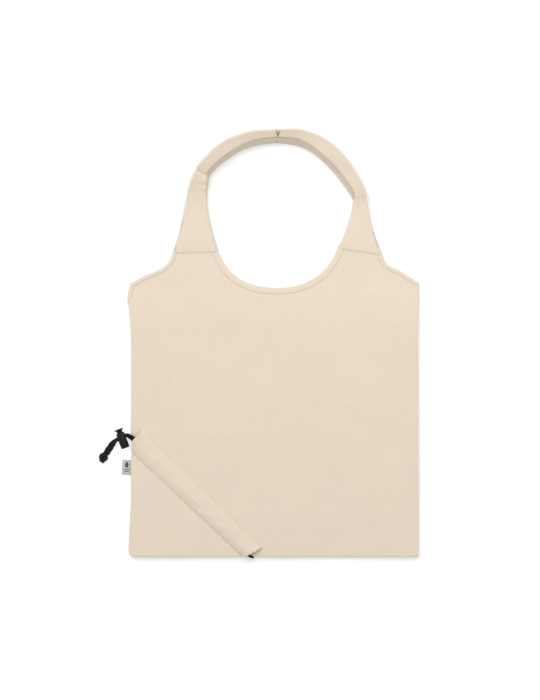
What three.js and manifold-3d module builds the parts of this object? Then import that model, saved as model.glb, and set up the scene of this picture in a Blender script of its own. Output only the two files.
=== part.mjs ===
// A cotton shopping bag that stuffs into its own corner pouch, lying on its back.
//
// Millimetres. +X points to the side seam that has no label, +Y runs from the bottom seam to the handles,
// and +Z points up, out of the front of the bag. The origin is under the middle of the back panel.
// All shapes are drawn with y = 0 at the bottom seam, and the whole bag is then moved down by originHeight.

import * as THREE from "three";
import { mergeVertices } from "three/addons/utils/BufferGeometryUtils.js";
import Module from "manifold-3d";

const wasm = await Module();
wasm.setup();

// Body of the bag.
const halfWidth = 200;
const originHeight = 200;
const shoulderHeight = 378;
const cornerRadius = 8;
const cloth = 1.2;
const gap = 0.3;
const bagHollow = 7.2;
const seamWidth = 3;

// Heights of the layers, from the ground up.
const frontUnderside = cloth + bagHollow;
const frontTop = frontUnderside + cloth;

// The casing is a band across the corner, drawn in a frame turned so that it runs along +X.
const casingTurn = THREE.MathUtils.degToRad(-44.1);
const casingStart = -254;
const casingEnd = -21.5;
const casingHeight = 5.3;
const casingWall = 0.5;
const cordLine = -20.5;
const channelWidth = 8;

// Drawcord, cord lock and knot.
const cordRadius = 1.75;
const strandSpacing = 1.85;
const lockTurn = THREE.MathUtils.degToRad(20.9);
const lockRadius = 6;
const capRadius = 6.5;
const lockCentre = new THREE.Vector3(-212.4, 165.6, capRadius + 0.2);
const barrelLength = 22.1;
const barrelFloor = 1.5;
const boreRadius = 4.4;
const stemRadius = boreRadius - gap;
const plungerBottom = 9.5;
const plungerTravel = 3;
const slotHeight = 15.1;
const slotLength = 7.8;
const slotWidth = 5;
const knotCentre = new THREE.Vector3(-239.2, 137.2, 5.4);

// Side label.
const labelThickness = 1;
const labelHeight = 4.7;

const cotton = 0xebddc8;
const blackCord = 0x17171a;

const bag = new THREE.Group();
bag.position.y = -originHeight;

// ---------------------------------------------------------------- helpers

function solid(geometry) {
  const bare = geometry.clone();
  bare.deleteAttribute("normal");
  bare.deleteAttribute("uv");
  const merged = mergeVertices(bare, 1e-4);
  const vertProperties = new Float32Array(merged.attributes.position.array);
  const triVerts = new Uint32Array(merged.index.array);
  return new wasm.Manifold(new wasm.Mesh({ numProp: 3, vertProperties, triVerts }));
}

function geometryOf(manifold) {
  const mesh = manifold.getMesh();
  const geometry = new THREE.BufferGeometry();
  geometry.setAttribute("position", new THREE.BufferAttribute(mesh.vertProperties, 3));
  geometry.setIndex(new THREE.BufferAttribute(mesh.triVerts, 1));
  geometry.computeVertexNormals();
  return geometry;
}

function addPiece(parent, name, geometry, color, roughness) {
  const material = new THREE.MeshStandardMaterial({ color, roughness, metalness: 0 });
  const mesh = new THREE.Mesh(geometry, material);
  mesh.name = name;
  parent.add(mesh);
  return mesh;
}

function addCotton(parent, name, geometry) {
  return addPiece(parent, name, geometry, cotton, 0.95);
}

function addCord(parent, name, geometry) {
  return addPiece(parent, name, geometry, blackCord, 0.85);
}

function prism(shape, bottom, top) {
  const settings = { depth: top - bottom, bevelEnabled: false, curveSegments: 8 };
  return new THREE.ExtrudeGeometry(shape, settings).translate(0, 0, bottom);
}

function block(low, high) {
  const size = high.map((value, i) => value - low[i]);
  const middle = high.map((value, i) => (value + low[i]) / 2);
  return new THREE.BoxGeometry(...size).translate(...middle);
}

function tube(curve, radius, steps, sides = 8) {
  const section = new THREE.Shape();
  for (let i = 0; i < sides; i += 1) {
    const angle = (2 * Math.PI * i) / sides;
    const x = radius * Math.cos(angle);
    const y = radius * Math.sin(angle);
    if (i === 0) section.moveTo(x, y);
    else section.lineTo(x, y);
  }
  return new THREE.ExtrudeGeometry(section, { steps, extrudePath: curve, bevelEnabled: false });
}

// ---------------------------------------------------------------- body panels

function panelOutline() {
  const outline = new THREE.Shape();
  outline.moveTo(cornerRadius - halfWidth, 0);
  outline.lineTo(halfWidth, 0);
  outline.lineTo(halfWidth, shoulderHeight - 1);
  outline.lineTo(172, 399);
  outline.quadraticCurveTo(156, 409, 149.5, 420.5);
  outline.lineTo(88.5, 430);
  outline.bezierCurveTo(74, 392, 44, 374, 4, 374);
  outline.bezierCurveTo(-38, 374, -66, 390, -79, 425);
  outline.lineTo(-141, 423);
  outline.bezierCurveTo(-146, 404, -158, 397, -178, 389.5);
  outline.lineTo(2.5 - halfWidth, shoulderHeight + 1);
  outline.lineTo(-halfWidth - 3, 363);
  outline.quadraticCurveTo(-halfWidth, 330, -halfWidth, 290);
  outline.lineTo(-halfWidth, cornerRadius);
  outline.quadraticCurveTo(-halfWidth, 0, cornerRadius - halfWidth, 0);
  return outline;
}

// The casing's footprint in its own turned frame, widened all round by margin.
function casingBand(margin) {
  const band = new THREE.Shape();
  band.moveTo(casingStart - margin, -34 - margin);
  band.lineTo(casingEnd + margin, -30 - margin);
  band.lineTo(casingEnd + margin, margin - 1.8);
  band.lineTo(casingStart - margin, 0.8 + margin);
  band.closePath();
  return band;
}

function bandSolid(margin, bottom, top) {
  return solid(prism(casingBand(margin), bottom, top).rotateZ(casingTurn));
}

// The open ways that the cord takes past both ends of the casing.
function cordWays(bottom, top) {
  const width = 3;
  const upper = block(
    [casingStart - 12, cordLine - width, bottom],
    [casingStart + 4, cordLine + width, top],
  );
  const lower = block(
    [casingEnd - 4, cordLine - width, bottom],
    [casingEnd + 12, cordLine + width, top],
  );
  return solid(upper.rotateZ(casingTurn)).add(solid(lower.rotateZ(casingTurn)));
}

function addBackPanel(parent) {
  const roof = casingHeight + gap;
  const hatSide = 1.8;
  const insideOutline = solid(prism(panelOutline(), -1, roof + cloth));
  const hat = bandSolid(hatSide, 0, roof + cloth).intersect(insideOutline);
  const panel = solid(prism(panelOutline(), 0, cloth))
    .add(hat)
    .subtract(bandSolid(gap, -1, roof))
    .subtract(cordWays(-1, roof));
  addCotton(parent, "back_panel", geometryOf(panel));
}

function addFrontPanel(parent) {
  addCotton(parent, "front_panel", prism(panelOutline(), frontUnderside, frontTop));
}

function addCasing(parent, name, bottom) {
  const top = bottom + casingHeight;
  const insideOutline = solid(prism(panelOutline(), bottom - 1, top + 1));
  const low = [casingStart - 1, cordLine - channelWidth / 2, bottom + casingWall];
  const high = [casingEnd + 30, cordLine + channelWidth / 2, top - casingWall];
  const channel = solid(block(low, high).rotateZ(casingTurn));
  const casing = bandSolid(0, bottom, top).intersect(insideOutline).subtract(channel);
  addCotton(parent, name, geometryOf(casing));
}

function addSeams(parent) {
  const low = cloth + gap;
  const high = frontUnderside - gap;
  const hatSpace = bandSolid(2.1, -1, casingHeight + cloth + 2 * gap);
  const ways = cordWays(-1, casingHeight + gap);
  const inset = 0.6;
  const side = halfWidth - inset;
  const sideTop = shoulderHeight - 4;
  const bottomSeamTop = inset + seamWidth;
  const left = block([-side, cornerRadius + 2, low], [seamWidth - side, sideTop, high]);
  const right = block([side - seamWidth, inset, low], [side, sideTop, high]);
  const bottomEnd = side - seamWidth - gap;
  const bottom = block([cornerRadius + 2 - side, inset, low], [bottomEnd, bottomSeamTop, high]);
  addCotton(parent, "left_side_seam", geometryOf(solid(left).subtract(hatSpace).subtract(ways)));
  addCotton(parent, "right_side_seam", right);
  addCotton(parent, "bottom_seam", geometryOf(solid(bottom).subtract(hatSpace).subtract(ways)));
}

// ---------------------------------------------------------------- handles

// A flat strip of cloth between two edges, each given by as many points as the other.
function ribbon(innerPoints, outerPoints) {
  const steps = 24;
  const toCurve = (points) => new THREE.CatmullRomCurve3(points.map((p) => new THREE.Vector3(...p)));
  const inner = toCurve(innerPoints);
  const outer = toCurve(outerPoints);
  const positions = [];
  for (let i = 0; i <= steps; i += 1) {
    const t = i / steps;
    const a = inner.getPoint(t);
    const b = outer.getPoint(t);
    const along = inner.getTangent(t).add(outer.getTangent(t));
    const normal = b.clone().sub(a).cross(along).normalize().multiplyScalar(cloth / 2);
    if (normal.z < 0) normal.negate();
    const underside = [a.clone().sub(normal), b.clone().sub(normal)];
    const upperside = [b.clone().add(normal), a.clone().add(normal)];
    for (const corner of [...underside, ...upperside]) {
      positions.push(corner.x, corner.y, corner.z);
    }
  }
  const triangles = [0, 1, 2, 0, 2, 3];
  for (let i = 0; i < steps; i += 1) {
    for (let k = 0; k < 4; k += 1) {
      const a = 4 * i + k;
      const b = 4 * i + ((k + 1) % 4);
      triangles.push(a, a + 4, b, b, a + 4, b + 4);
    }
  }
  const last = 4 * steps;
  triangles.push(last, last + 2, last + 1, last, last + 3, last + 2);
  const geometry = new THREE.BufferGeometry();
  geometry.setAttribute("position", new THREE.Float32BufferAttribute(positions, 3));
  geometry.setIndex(triangles);
  if (solid(geometry).volume() < 0) geometry.setIndex(triangles.slice().reverse());
  geometry.computeVertexNormals();
  return geometry;
}

// The straps lie flat at the shoulders. At the top the back pair stands on edge and carries the front pair,
// which leans back. Between the shoulder and the top the front pair sags towards the back pair.
function addStraps(parent) {
  const frontLeftInner = [
    [-79, 425.3, 9], [-85, 452, 6], [-90.5, 483, 5.2], [-93.5, 507, 7.4], [-94, 524, 11],
    [-90.4, 538.6, 14], [-61.7, 562.4, 16.6], [-30.3, 577.9, 17.2], [3.35, 583.2, 17.3],
  ];
  const frontLeftOuter = [
    [-141, 423.3, 9], [-132, 451, 6], [-124.5, 484, 5.8], [-119, 509, 9.6], [-112, 528, 14.6],
    [-103.4, 544.6, 19], [-75, 574.2, 22], [-37, 590, 22.8], [3.35, 592.6, 23],
  ];
  const frontRightInner = [
    [88.5, 430.3, 9], [99, 452, 6.2], [106, 474, 5.2], [110, 492, 6.8], [110.4, 506.8, 10],
    [90.8, 534.8, 14.2], [66, 559.2, 16.6], [36.7, 578.8, 17.2], [3.65, 583.2, 17.3],
  ];
  const frontRightOuter = [
    [149.5, 420.8, 9], [138, 450, 6.2], [131.5, 474, 5.4], [128, 494, 8.3], [124.4, 509.5, 12.8],
    [106, 542.6, 19.4], [79.5, 572.9, 22.2], [41.5, 590.6, 22.8], [3.65, 592.6, 23],
  ];
  const backLeftInner = [
    [-79, 425.3, 0.6], [-85, 452, 0.6], [-90.5, 483, 0.6], [-93, 504, 0.7], [-92.5, 520, 0.8],
    [-87.5, 534.5, 0.8], [-58.6, 559.1, 0.7], [-28.3, 572.6, 0.7], [3.35, 577, 0.7],
  ];
  const backLeftOuter = [
    [-141, 423.3, 0.6], [-132, 451, 0.6], [-124, 484, 0.8], [-118.5, 507, 3], [-109.5, 526, 7],
    [-97.5, 542, 10.6], [-64.5, 564.5, 14], [-31, 578, 14.8], [3.35, 582.4, 15],
  ];
  const backRightInner = [
    [88.5, 430.3, 0.6], [99, 452, 0.6], [106, 474, 0.6], [109, 489, 0.7], [109, 499, 0.8],
    [87, 530, 0.8], [62.9, 555.9, 0.7], [34.9, 572, 0.7], [3.65, 577, 0.7],
  ];
  const backRightOuter = [
    [149.5, 420.8, 0.6], [138, 450, 0.6], [131, 474, 0.7], [127, 493, 2], [122.5, 507, 4.5],
    [96.5, 538.5, 11.2], [69, 561.5, 14], [37.5, 578.8, 14.8], [3.65, 582.4, 15],
  ];
  addCotton(parent, "front_left_strap", ribbon(frontLeftInner, frontLeftOuter));
  addCotton(parent, "front_right_strap", ribbon(frontRightInner, frontRightOuter));
  addCotton(parent, "back_left_strap", ribbon(backLeftInner, backLeftOuter));
  addCotton(parent, "back_right_strap", ribbon(backRightInner, backRightOuter));
}

// A bar of thread over the joint of a handle's two straps, lying on their inner faces.
function addTack(parent, name, foot, head) {
  const length = head.distanceTo(foot) - 4;
  const tack = addPiece(parent, name, new THREE.BoxGeometry(6, length, 0.8), 0x9c8c72, 0.9);
  const lean = Math.atan2(head.z - foot.z, head.y - foot.y);
  const clear = cloth / 2 + 2.5 * gap + 0.4;
  tack.position.copy(foot).add(head).multiplyScalar(0.5);
  tack.position.y -= clear * Math.sin(lean);
  tack.position.z += clear * Math.cos(lean);
  tack.rotation.x = lean;
}

// ---------------------------------------------------------------- drawcord

// A point of the casing's turned frame, in the bag's frame.
function onBand(along, across, height) {
  return new THREE.Vector3(along, across, height).applyAxisAngle(new THREE.Vector3(0, 0, 1), casingTurn);
}

function addCasingCords(parent) {
  const stop = casingEnd - 5.5;
  const frontHeight = frontTop + gap + casingHeight / 2;
  const backHeight = casingHeight / 2;
  for (const [name, height] of [
    ["drawcord_in_front_casing", frontHeight],
    ["drawcord_in_back_casing", backHeight],
  ]) {
    const run = new THREE.LineCurve3(onBand(casingStart, cordLine, height), onBand(stop, cordLine, height));
    addCord(parent, name, tube(run, cordRadius, 2));
  }
  const start = stop + 1.2;
  const edge = casingEnd - 0.1;
  const outside = edge + 3.8;
  const middle = (frontHeight + backHeight) / 2;
  const turn = new THREE.CatmullRomCurve3([
    onBand(start, cordLine, frontHeight),
    onBand(edge, cordLine, frontHeight),
    onBand(outside, cordLine, frontHeight - 1.5),
    onBand(outside + 1.8, cordLine, middle),
    onBand(outside, cordLine, backHeight + 1.5),
    onBand(edge, cordLine, backHeight),
    onBand(start, cordLine, backHeight),
  ]);
  addCord(parent, "drawcord_bottom_turn", tube(turn, cordRadius, 14));
}

// The way of each strand from its casing to the lock, then of the pair's middle from the lock to the knot.
const frontApproach = [
  [-197.1, 162.5, 12.3], [-199.8, 166.2, 11.9], [-202.6, 169.3, 9.9], [-205.4, 170.1, 7.5],
  [-208.6, 169.1, 6.8],
];
const backApproach = [
  [-197.1, 162.5, 2.7], [-199.6, 165.3, 3.2], [-202.4, 167, 4.8], [-205.2, 166.6, 5.9],
  [-208, 165.5, 6.7],
];
const tail = [
  [-211.5, 166, 6.7], [-216.2, 164.2, 6.7], [-220.8, 162.4, 6.3], [-224, 160.2, 5.6], [-226.6, 157.4, 5],
  [-229, 154, 4.6], [-231.2, 150.4, 4.6], [-233.2, 146.8, 4.8], [-235.3, 143.2, 4.8],
];

// The two strands lie side by side through the lock, then turn once round each other and belly out.
function strandCurve(approach, side) {
  const route = new THREE.CatmullRomCurve3(tail.map((p) => new THREE.Vector3(...p)));
  const points = approach.map((p) => new THREE.Vector3(...p));
  const straight = 2;
  const steps = 16;
  for (let i = 0; i <= steps; i += 1) {
    const t = i / steps;
    const twisted = Math.max(0, t * (tail.length - 1) - straight) / (tail.length - 1 - straight);
    const angle = 2 * Math.PI * twisted;
    const belly = strandSpacing + 1.4 * Math.sin(Math.PI * twisted) ** 2;
    const along = route.getTangent(t);
    const sideways = new THREE.Vector3(along.y, -along.x, 0).normalize();
    const offset = sideways.multiplyScalar(Math.cos(angle));
    offset.z = Math.sin(angle);
    points.push(route.getPoint(t).addScaledVector(offset, side * belly));
  }
  return new THREE.CatmullRomCurve3(points);
}

function addStrands(parent) {
  addCord(parent, "front_strand", tube(strandCurve(frontApproach, 1), cordRadius, 40));
  addCord(parent, "back_strand", tube(strandCurve(backApproach, -1), cordRadius, 40));
}

function addKnot(parent) {
  const ball = new THREE.SphereGeometry(1, 14, 10).scale(5.6, 6.2, 5.3);
  ball.rotateZ(-0.5).translate(...knotCentre);
  let knot = solid(ball);
  for (const [turn, reach] of [[0.25, 11.5], [-0.35, 10.5]]) {
    const end = new THREE.CylinderGeometry(1.6, 1.6, reach, 8).translate(0, -reach / 2, 0);
    end.rotateZ(turn - 0.35).translate(knotCentre.x, knotCentre.y, knotCentre.z - 1.5);
    knot = knot.add(solid(end));
  }
  addCord(parent, "cord_knot", geometryOf(knot));
}

// ---------------------------------------------------------------- cord lock

// The lock is drawn upright on its own y axis, from the barrel's closed end to the plunger's cap.
function cordSlot(low, high) {
  return solid(block([-lockRadius - 1, low, -slotWidth / 2], [lockRadius + 1, high, slotWidth / 2]));
}

function lathe(profile) {
  return new THREE.LatheGeometry(profile.map(([r, y]) => new THREE.Vector2(r, y)), 28);
}

function addBarrel(parent) {
  const round = 1;
  const body = solid(lathe([
    [0, 0], [lockRadius - round, 0], [lockRadius, round],
    [lockRadius, barrelLength - 0.6], [lockRadius - 0.6, barrelLength],
    [boreRadius, barrelLength], [boreRadius, barrelFloor], [0, barrelFloor],
  ]));
  const slot = cordSlot(slotHeight - slotLength / 2, slotHeight + slotLength / 2);
  addPiece(parent, "cord_lock_barrel", geometryOf(body.subtract(slot)), 0x1b1b1d, 0.45);
}

function addPlunger(parent) {
  const neckTop = barrelLength + plungerTravel + gap;
  const body = solid(lathe([
    [0, plungerBottom], [stemRadius, plungerBottom], [stemRadius, neckTop],
    [capRadius, neckTop + 1.1], [capRadius, neckTop + 2.1], [capRadius - 0.6, neckTop + 2.6],
    [3.4, neckTop + 2.3], [0, neckTop + 1.9],
  ]));
  const slot = cordSlot(slotHeight - slotLength / 2, slotHeight + slotLength / 2 + plungerTravel);
  addPiece(parent, "cord_lock_plunger", geometryOf(body.subtract(slot)), 0x1b1b1d, 0.45);
}

class Helix extends THREE.Curve {
  constructor(radius, bottom, top, turns) {
    super();
    Object.assign(this, { radius, bottom, top, turns });
  }

  getPoint(t, target = new THREE.Vector3()) {
    const angle = 2 * Math.PI * this.turns * t;
    const height = this.bottom + (this.top - this.bottom) * t;
    return target.set(this.radius * Math.cos(angle), height, this.radius * Math.sin(angle));
  }
}

function addSpring(parent) {
  const wire = 0.3;
  const coil = new Helix(3, barrelFloor + wire + gap, plungerBottom - wire - gap, 3.5);
  addPiece(parent, "cord_lock_spring", tube(coil, wire, 40), 0xb8babd, 0.35);
}

function addLock(parent) {
  const lock = new THREE.Group();
  lock.rotation.z = lockTurn;
  const toSlot = new THREE.Vector3(0, slotHeight, 0).applyAxisAngle(new THREE.Vector3(0, 0, 1), lockTurn);
  lock.position.copy(lockCentre).sub(toSlot);
  parent.add(lock);
  addBarrel(lock);
  addPlunger(lock);
  addSpring(lock);
}

// ---------------------------------------------------------------- label

function addLabel(parent) {
  const outline = new THREE.Shape();
  outline.moveTo(-halfWidth - 0.6, 113.3);
  outline.lineTo(-halfWidth - 0.6, 134.6);
  outline.lineTo(-halfWidth - 11.2, 135.4);
  outline.lineTo(-halfWidth - 12.8, 114.2);
  outline.closePath();
  const geometry = prism(outline, labelHeight - labelThickness / 2, labelHeight + labelThickness / 2);
  addPiece(parent, "side_label", geometry, 0xe3e1dc, 0.9);
}

// ---------------------------------------------------------------- assembly

addBackPanel(bag);
addFrontPanel(bag);
addSeams(bag);
addCasing(bag, "back_casing", 0);
addCasing(bag, "front_casing", frontTop + gap);
addStraps(bag);
addTack(bag, "front_handle_tack", new THREE.Vector3(3.5, 583.2, 17.3), new THREE.Vector3(3.5, 592.6, 23));
addTack(bag, "back_handle_tack", new THREE.Vector3(3.5, 577, 0.7), new THREE.Vector3(3.5, 582.4, 15));
addCasingCords(bag);
addStrands(bag);
addKnot(bag);
addLock(bag);
addLabel(bag);

export default bag;
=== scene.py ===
import math

import bmesh
import bpy
import numpy as np
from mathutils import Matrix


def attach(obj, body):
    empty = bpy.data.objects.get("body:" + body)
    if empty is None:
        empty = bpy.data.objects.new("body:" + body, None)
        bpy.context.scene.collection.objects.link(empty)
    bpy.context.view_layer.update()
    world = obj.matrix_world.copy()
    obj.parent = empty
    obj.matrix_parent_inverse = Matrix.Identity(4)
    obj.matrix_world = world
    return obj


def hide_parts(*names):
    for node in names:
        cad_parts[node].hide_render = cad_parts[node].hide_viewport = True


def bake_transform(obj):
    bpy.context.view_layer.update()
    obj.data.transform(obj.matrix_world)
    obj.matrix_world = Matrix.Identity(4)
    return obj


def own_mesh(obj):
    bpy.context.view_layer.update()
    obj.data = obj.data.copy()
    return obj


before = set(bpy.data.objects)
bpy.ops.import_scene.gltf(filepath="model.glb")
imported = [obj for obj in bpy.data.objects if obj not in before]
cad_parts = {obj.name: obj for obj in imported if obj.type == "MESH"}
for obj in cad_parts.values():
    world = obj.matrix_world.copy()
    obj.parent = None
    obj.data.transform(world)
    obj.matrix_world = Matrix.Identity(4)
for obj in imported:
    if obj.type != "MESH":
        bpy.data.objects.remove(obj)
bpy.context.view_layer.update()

# Looks of a cotton shopping bag that lies on its back, with a corner pouch closed by a black drawcord.
# Lengths are in millimetres and y is measured from the bottom seam, until a mesh is made from them.

scene = bpy.context.scene

# The frame's origin is this far above the bottom seam.
ORIGIN_HEIGHT = 200

CAMERA_PLACE = (-0.0063, 0.0877, 2.440)
CAMERA_LENS = 90
KEY = {"place": (-2.0, 2.2, 3.2), "size": 2.4, "power": 82}
FILL = {"place": (0.6, 1.0, 1.3), "size": 1.2, "power": 10}
WORLD_STRENGTH = 0.77

# The paper is greyer and glows near the bag's body. Each range is where that fades.
GROUND_NEAR = 0.51
GROUND_FAR = 0.88
GROUND_GLOW = 0.40
GROUND_LEFT_GLOW = 0.3
BODY_FADE = (0.212, 0.27)
HANDLE_FADE = (0.12, 0.17)
LEFT_FADE = (-0.204, -0.198)

# Body of the bag. Its two halves meet at MIDDLE, where the neckline is lowest.
SIDE = 200
MIDDLE = 4
CLOTH = 0.8
HEM = 9
ARMHOLE_HEM = 6
SEAM_ROLL = 0.2
SEAM_SWELL = 25
STITCH_PITCH = 2.9

# Heights of the middle of the cloth: the back, the seams, and how the front stands above them.
BACK_LEVEL = 0.8
SEAM_LEVEL = 1.9
FRONT_RISE = 4.2
SHOULDER_DROP = 3.8
LAYER_GAP = 1.3

# The casing is a band across the corner, drawn in a frame turned so that it runs along the first axis.
CASING_TURN = math.radians(-44.1)
CASING_START = -254
CASING_END = -21.5
CASING_END_LEAN = 0.32
CASING_WIDTH = 34
EDGE_SPARE = 0.3

# How far the casing stands off the front panel, and how much more at its two open ends.
CASING_LIFT = 0.85
MOUTH_LIFT = 3.6
END_LIFT = 2.6

# The cord runs along this line of the casing.
CORD_LINE = -20.5
CORD_RADIUS = 1.75
BRAID_SIDES = 20

# The drawcord comes out of the left side between these heights, and pulls the side seam in there.
MOUTH_LOW = 154
MOUTH_HIGH = 172
PULL = 3.8

STRAP_THICKNESS = 1.5
STRAP_SEED = {"left": 30, "right": 32}

COTTON_COLOUR = (0.622, 0.533, 0.428)
THREAD_COLOUR = (0.610, 0.520, 0.412)
# The tack thread's dark colour is partly painted shade. It is the thread's own colour, and it also stands in
# for the shade in the folds where the straps' seam allowance spreads at their joint.
TACK_AND_FOLD_SHADE_COLOUR = (0.31, 0.255, 0.195)
CORD_COLOUR = (0.006, 0.006, 0.0075)
PLASTIC_COLOUR = (0.006, 0.006, 0.007)
LABEL_COLOUR = (0.43, 0.425, 0.40)
PRINT_COLOUR = (0.06, 0.06, 0.055)
STEEL_COLOUR = (0.55, 0.56, 0.57)
SLUB_TONE = 0.11
CLOUD_TONE = 0.06


# ---------------------------------------- curves and waves


def arc(*controls, steps=24):
    """Points along the Bezier curve of any number of control points."""
    t = np.linspace(0, 1, steps + 1)[:, None]
    points = [np.asarray(c, float) + 0 * t for c in controls]
    while len(points) > 1:
        points = [a + (b - a) * t for a, b in zip(points, points[1:])]
    return points[0]


def spline(points, per_span):
    """A smooth curve through the points, with per_span steps from each one to the next."""
    p = np.asarray(points, float)
    p = np.vstack([2 * p[0] - p[1], p, 2 * p[-1] - p[-2]])
    made = []
    for a, b, c, d in zip(p, p[1:], p[2:], p[3:]):
        for t in np.arange(per_span) / per_span:
            cubic = (3 * b - a - 3 * c + d) * t**3
            square = (2 * a - 5 * b + 4 * c - d) * t**2
            made.append((2 * b + (c - a) * t + square + cubic) / 2)
    made.append(p[-2])
    return np.array(made)


def run_of(path):
    """The distance along a path of each of its points."""
    steps = np.linalg.norm(np.diff(path, axis=0), axis=1)
    return np.concatenate([[0], np.cumsum(steps)])


def evenly_like(path, values, count):
    """The values that belong to a path's points, read at count places spaced evenly along it."""
    run = run_of(path)
    wanted = np.linspace(0, run[-1], count)
    return np.stack([np.interp(wanted, run, column) for column in np.asarray(values).T], axis=1)


def evenly(path, count):
    """count points spaced evenly along a path."""
    return evenly_like(path, path, count)


def trace(*pieces):
    """An edge made of curves, each given as (steps, control points...), which keeps their corners."""
    parts = [evenly(arc(*controls), steps + 1) for steps, *controls in pieces]
    return np.vstack([parts[0], *[part[1:] for part in parts[1:]]])


def smoothstep(x):
    x = np.clip(x, 0, 1)
    return x * x * (3 - 2 * x)


def waves(x, y, length, seed):
    """Soft irregular waves of about the given length, mostly between -1 and 1."""
    count = 7
    rng = np.random.default_rng(seed)
    total = 0
    for turn, phase, stretch in zip(*rng.uniform((0, 0, 0.7), (6.28, 6.28, 1.5), (count, 3)).T):
        step = 2 * math.pi / (length * stretch)
        total = total + np.sin(step * (x * math.cos(turn) + y * math.sin(turn)) + phase)
    return total / math.sqrt(count)


def to_band(x, y):
    """The place along and across the casing of a point of the bag."""
    cos, sin = math.cos(CASING_TURN), math.sin(CASING_TURN)
    return x * cos + y * sin, y * cos - x * sin


def from_band(along, across):
    """The point of the bag at a place along and across the casing."""
    cos, sin = math.cos(CASING_TURN), math.sin(CASING_TURN)
    return along * cos - across * sin, along * sin + across * cos


# ---------------------------------------- outline of the bag


def pulled_in(y):
    """How far the left side is pulled in: most in the mouth, then less up to its top and below it."""
    return PULL * smoothstep((MOUTH_HIGH - 1 - y) / 7) * smoothstep((y - MOUTH_LOW + 22) / 26)


# Every edge has 90 rows beside the centre line, the first 8 of them short, and then 44 beside the neckline.
# A top edge runs up the side for its first 22 rows, and then along the armhole to the strap. The hem of
# the left armhole starts a little lower, at row 18.
SHOULDER_ROW = 22
LEFT_HEM_ROW = 18
LEFT_SIDE = trace(
    (8, (-194, 0), (-203.4, 0), (-203.4, 9)),
    (16, (-203.4, 9), (-202.4, 35), (-199.8, 75)),
    (66, (-199.8, 75), (-199.6, 290)),
)
LEFT_SIDE[:, 0] += pulled_in(LEFT_SIDE[:, 1])
LEFT_TOP = trace(
    (18, (-199.6, 290), (-200, 330), (-204.4, 360)),
    (4, (-204.4, 360), (-200.4, 380)),
    (6, (-200.4, 380), (-181, 391)),
    (16, (-181, 391), (-160, 398), (-146, 405), (-141, 423)),
)
RIGHT_SIDE = trace((8, (200.2, 0), (200.1, 4)), (82, (200.1, 4), (199.6, 290)))
RIGHT_TOP = trace(
    (22, (199.6, 290), (200.4, 381.5)),
    (9, (200.4, 381.5), (172, 399.5)),
    (13, (172, 399.5), (151.5, 405), (149.5, 420.5)),
)
LEFT_NECK = trace((44, (MIDDLE, 374), (-38, 374), (-66, 390), (-79, 425)))
RIGHT_NECK = trace((44, (MIDDLE, 374), (44, 374), (74, 392), (88.5, 430)))
CENTRE = trace((8, (MIDDLE, 0), (MIDDLE, 4)), (82, (MIDDLE, 4), (MIDDLE, 374)))

# Columns from the centre line out to the side: wide ones, and then ever narrower ones at the seam.
WIDE_COLUMNS = np.linspace(0, 0.94, 40)[:-1]
SEAM_COLUMNS = 1 - 0.06 * np.linspace(1, 0, 16) ** 1.8
SHARES = np.concatenate([WIDE_COLUMNS, SEAM_COLUMNS])


# ---------------------------------------- heights of the cloth


def from_side(x, y):
    """How far a point is from the nearer side seam."""
    left = np.vstack([LEFT_SIDE, LEFT_TOP[1 : SHOULDER_ROW + 1]])
    right = np.vstack([RIGHT_SIDE, RIGHT_TOP[1 : SHOULDER_ROW + 1]])
    inside_left = x - np.interp(y, left[:, 1], left[:, 0])
    inside_right = np.interp(y, right[:, 1], right[:, 0]) - x
    return np.maximum(np.minimum(inside_left, inside_right), 0)


def over_cord(across, height, low_width=4.0, high_width=4.0):
    """A ridge over the cord, with its own width on either side of it."""
    width = np.where(across < CORD_LINE, low_width, high_width)
    return height * np.exp(-(((across - CORD_LINE) / width) ** 2))


def soft_maximum(a, b):
    """The higher of two heights, with a rounded change from one to the other."""
    return (a + b + np.sqrt((a - b) ** 2 + 0.6)) / 2


def back_height(x, y):
    """The back panel lies on the ground and rises over the back casing and its cord."""
    along, across = to_band(x, y)
    inside = smoothstep((across + CASING_WIDTH + 3) / 4) * smoothstep((4 - across) / 4)
    inside = inside * smoothstep((CASING_END + 5 - along) / 6)
    return BACK_LEVEL + inside * (CLOTH + over_cord(across, 3.3)) + 0.08 * waves(x, y, 60, 3)


def front_height(x, y):
    """The front panel rolls down to the seams, stands clear between them and is lower at the shoulders."""
    side = from_side(x, y)
    sewn = smoothstep((395 - y) / 25)
    seam = np.maximum(y, 0)
    roll = (1 - np.exp(-side / SEAM_ROLL) * sewn) * (1 - np.exp(-seam / SEAM_ROLL))
    swell = (1 - np.exp(-side / SEAM_SWELL) * sewn) * (1 - np.exp(-seam / SEAM_SWELL))
    rise = FRONT_RISE - SHOULDER_DROP * smoothstep((y - 320) / 100)
    height = SEAM_LEVEL + rise * roll + 1.1 * swell
    calm = smoothstep(np.abs(x - MIDDLE) / 10)
    soft = 0.42 * waves(x, y, 110, 11) + 0.20 * waves(x, y, 46, 12)
    pucker = np.exp(-side / 10) * sewn * np.sin(y / 2.1 + 2 * waves(x, y, 60, 13))
    pucker = pucker + np.exp(-seam / 9) * np.sin(x / 2.3 + 2 * waves(x, y, 70, 14))
    along, across = to_band(x, y)
    dip = over_cord(across, 1.0, 6, 6) * smoothstep((CASING_END + 8 - along) / 8)
    height = height + calm * (roll * soft + 0.14 * pucker) - dip * roll
    return soft_maximum(height, back_height(x, y) + LAYER_GAP)


def casing_edges(along):
    """Where the casing's two long edges are, across it. They draw together towards its lower end."""
    share = (along - CASING_START) / (CASING_END - CASING_START)
    return 4 * share - CASING_WIDTH, 0.8 - 2.6 * share


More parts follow.
